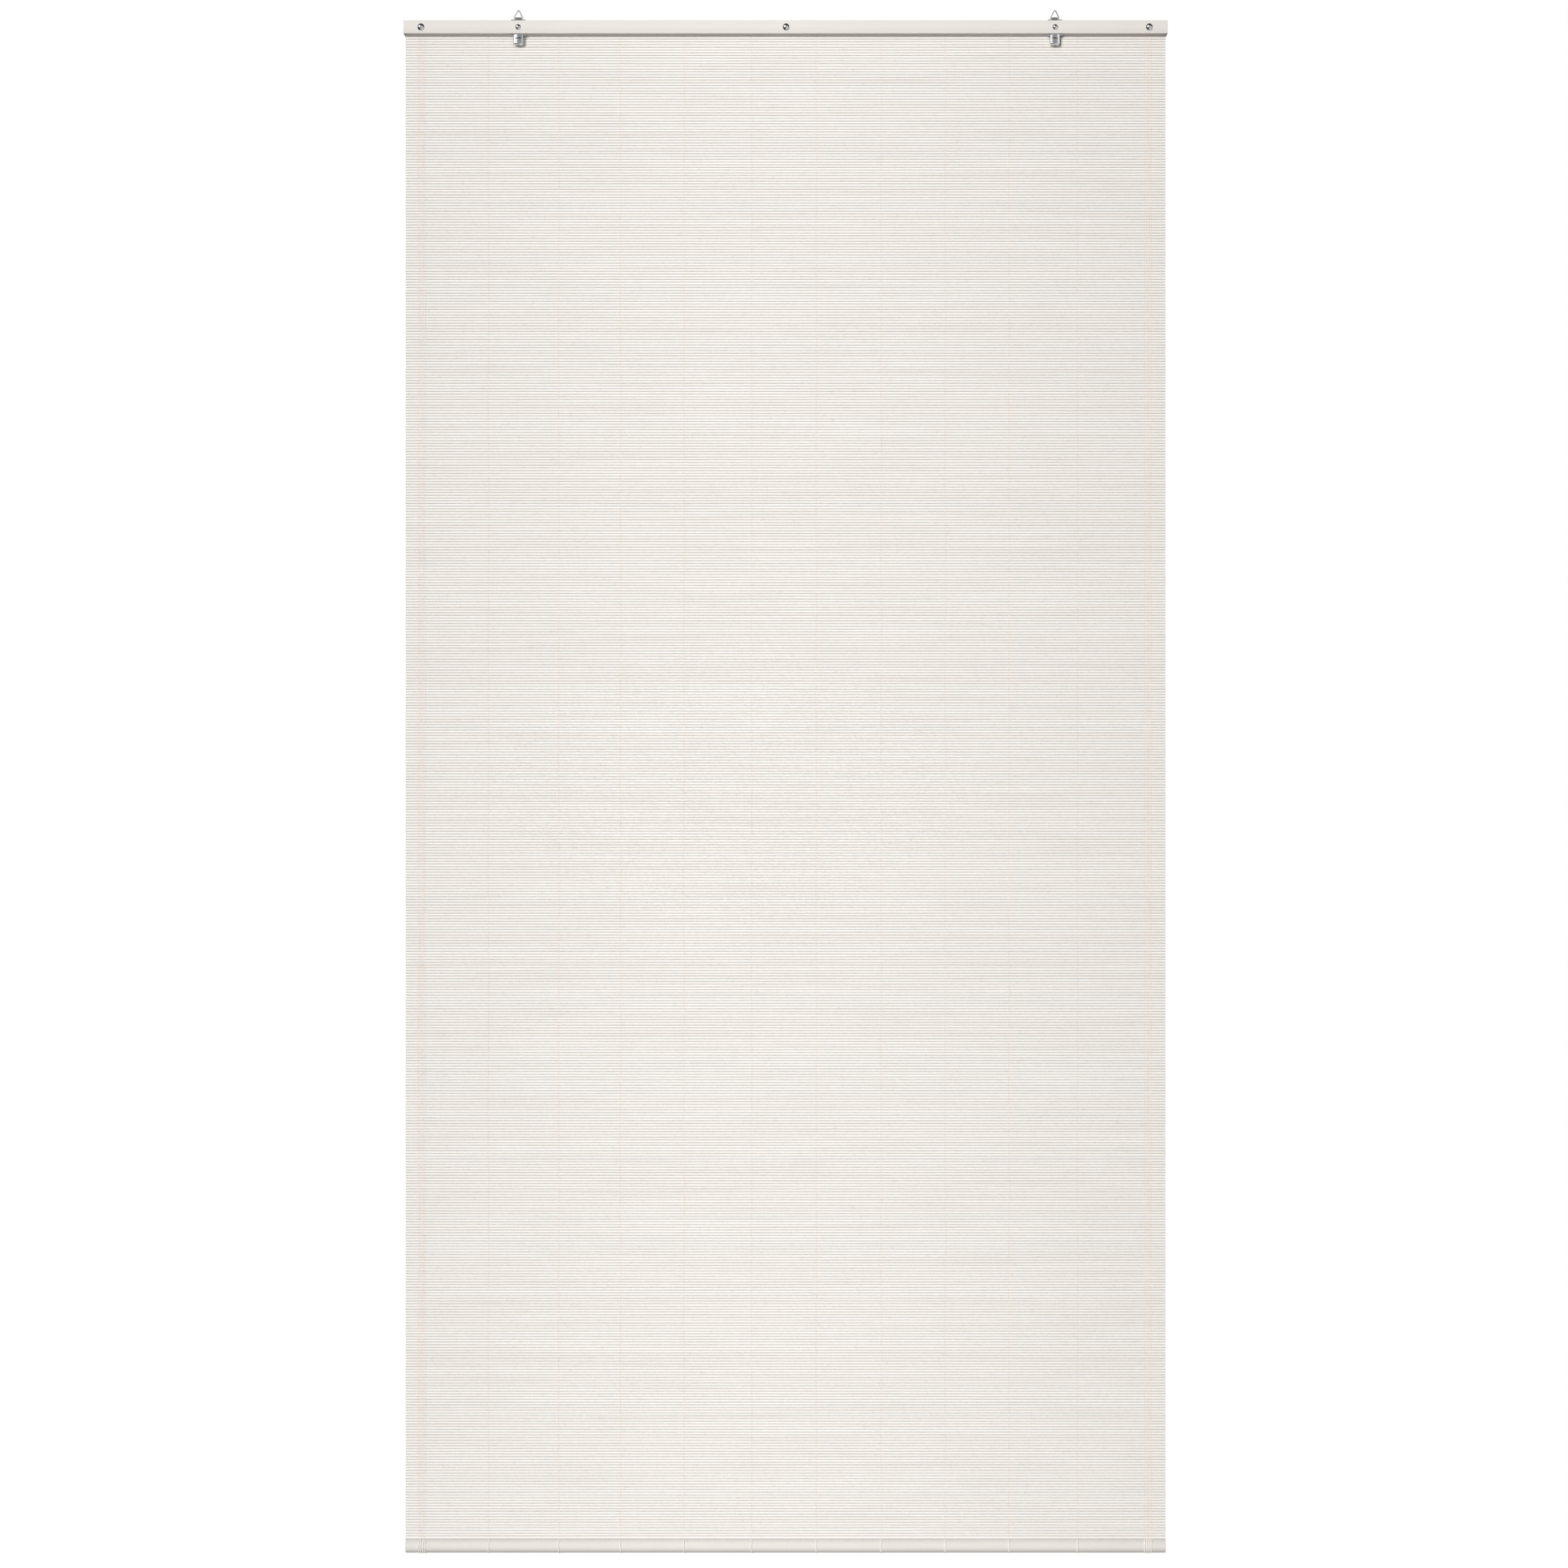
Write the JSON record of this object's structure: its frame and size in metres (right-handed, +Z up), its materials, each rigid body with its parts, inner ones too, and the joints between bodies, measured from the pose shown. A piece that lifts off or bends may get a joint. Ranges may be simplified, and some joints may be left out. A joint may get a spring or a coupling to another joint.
{
  "type": "bamboo blind",
  "caption": "White painted bamboo roll-up blind with a clamped headrail, hanging rings, pulley cases and a bottom batten.",
  "frame": {"origin": "middle of the line on which the blind hangs, just inside the tops of the two rings", "axes": "+X right seen from the room, +Y towards the window, +Z up"},
  "size_m": [1.1, 0.0258, 2.2263],
  "materials": {
    "painted_batten": "white satin paint",
    "painted_bamboo": "thin white paint on split bamboo",
    "weaving_yarn": "twisted cotton yarn",
    "tying_cord": "twisted white cotton cord",
    "chrome_heads": "polished nickel",
    "plated_steel": "bright plated sheet steel",
    "ring_wire": "bright plated wire",
    "zinc_steel": "zinc plated"
  },
  "bodies": {
    "headrail": {"front_batten": "painted_batten", "rear_batten": "painted_batten", "mat": "painted_bamboo", "warp_yarn_01": "weaving_yarn", "warp_yarn_02": "weaving_yarn", "warp_yarn_03": "weaving_yarn", "warp_yarn_04": "weaving_yarn", "warp_yarn_05": "weaving_yarn", "warp_yarn_06": "weaving_yarn", "warp_yarn_07": "weaving_yarn", "warp_yarn_08": "weaving_yarn", "warp_yarn_09": "weaving_yarn", "warp_yarn_10": "weaving_yarn", "warp_yarn_11": "weaving_yarn", "warp_yarn_12": "weaving_yarn", "clamp_bolts": "chrome_heads", "clamp_nuts": "zinc_steel", "bracket_bolts": "chrome_heads", "bracket_nuts": "zinc_steel", "case_rivets": "plated_steel", "hanger_bracket_left": "plated_steel", "pulley_case_left": "plated_steel", "pulley_axle_left": "zinc_steel", "hanger_bracket_right": "plated_steel", "pulley_case_right": "plated_steel", "pulley_axle_right": "zinc_steel"},
    "bottom_rail": {"bottom_batten": "painted_batten", "batten_loop_01": "tying_cord", "batten_loop_02": "tying_cord", "batten_loop_03": "tying_cord", "batten_loop_04": "tying_cord", "batten_loop_05": "tying_cord", "batten_loop_06": "tying_cord", "batten_loop_07": "tying_cord", "batten_loop_08": "tying_cord", "batten_loop_09": "tying_cord", "batten_loop_10": "tying_cord", "batten_loop_11": "tying_cord", "batten_loop_12": "tying_cord"},
    "left_ring": {"hanging_ring_left": "ring_wire"},
    "left_wheel": {"pulley_wheel_left": "zinc_steel"},
    "right_ring": {"hanging_ring_right": "ring_wire"},
    "right_wheel": {"pulley_wheel_right": "zinc_steel"}
  },
  "joints": [
    {"name": "lift", "type": "slide", "parent": "headrail", "child": "bottom_rail", "axis": [0, 0, 1], "range_m": [0, 2.084], "deforming": ["mat", "warp_yarn_01", "warp_yarn_02", "warp_yarn_03", "warp_yarn_04", "warp_yarn_05", "warp_yarn_06", "warp_yarn_07", "warp_yarn_08", "warp_yarn_09", "warp_yarn_10", "warp_yarn_11", "warp_yarn_12"]},
    {"name": "left_ring_swing", "type": "hinge", "parent": "headrail", "child": "left_ring", "pos_m": [-0.385, 0, -0.0105], "axis": [1, 0, 0], "range_deg": [-90, 90]},
    {"name": "left_wheel_spin", "type": "hinge", "parent": "headrail", "child": "left_wheel", "pos_m": [-0.385, -0.0001, -0.0403], "axis": [1, 0, 0], "continuous": true},
    {"name": "right_ring_swing", "type": "hinge", "parent": "headrail", "child": "right_ring", "pos_m": [0.388, 0, -0.0105], "axis": [1, 0, 0], "range_deg": [-90, 90]},
    {"name": "right_wheel_spin", "type": "hinge", "parent": "headrail", "child": "right_wheel", "pos_m": [0.388, -0.0001, -0.0403], "axis": [1, 0, 0], "continuous": true}
  ]
}
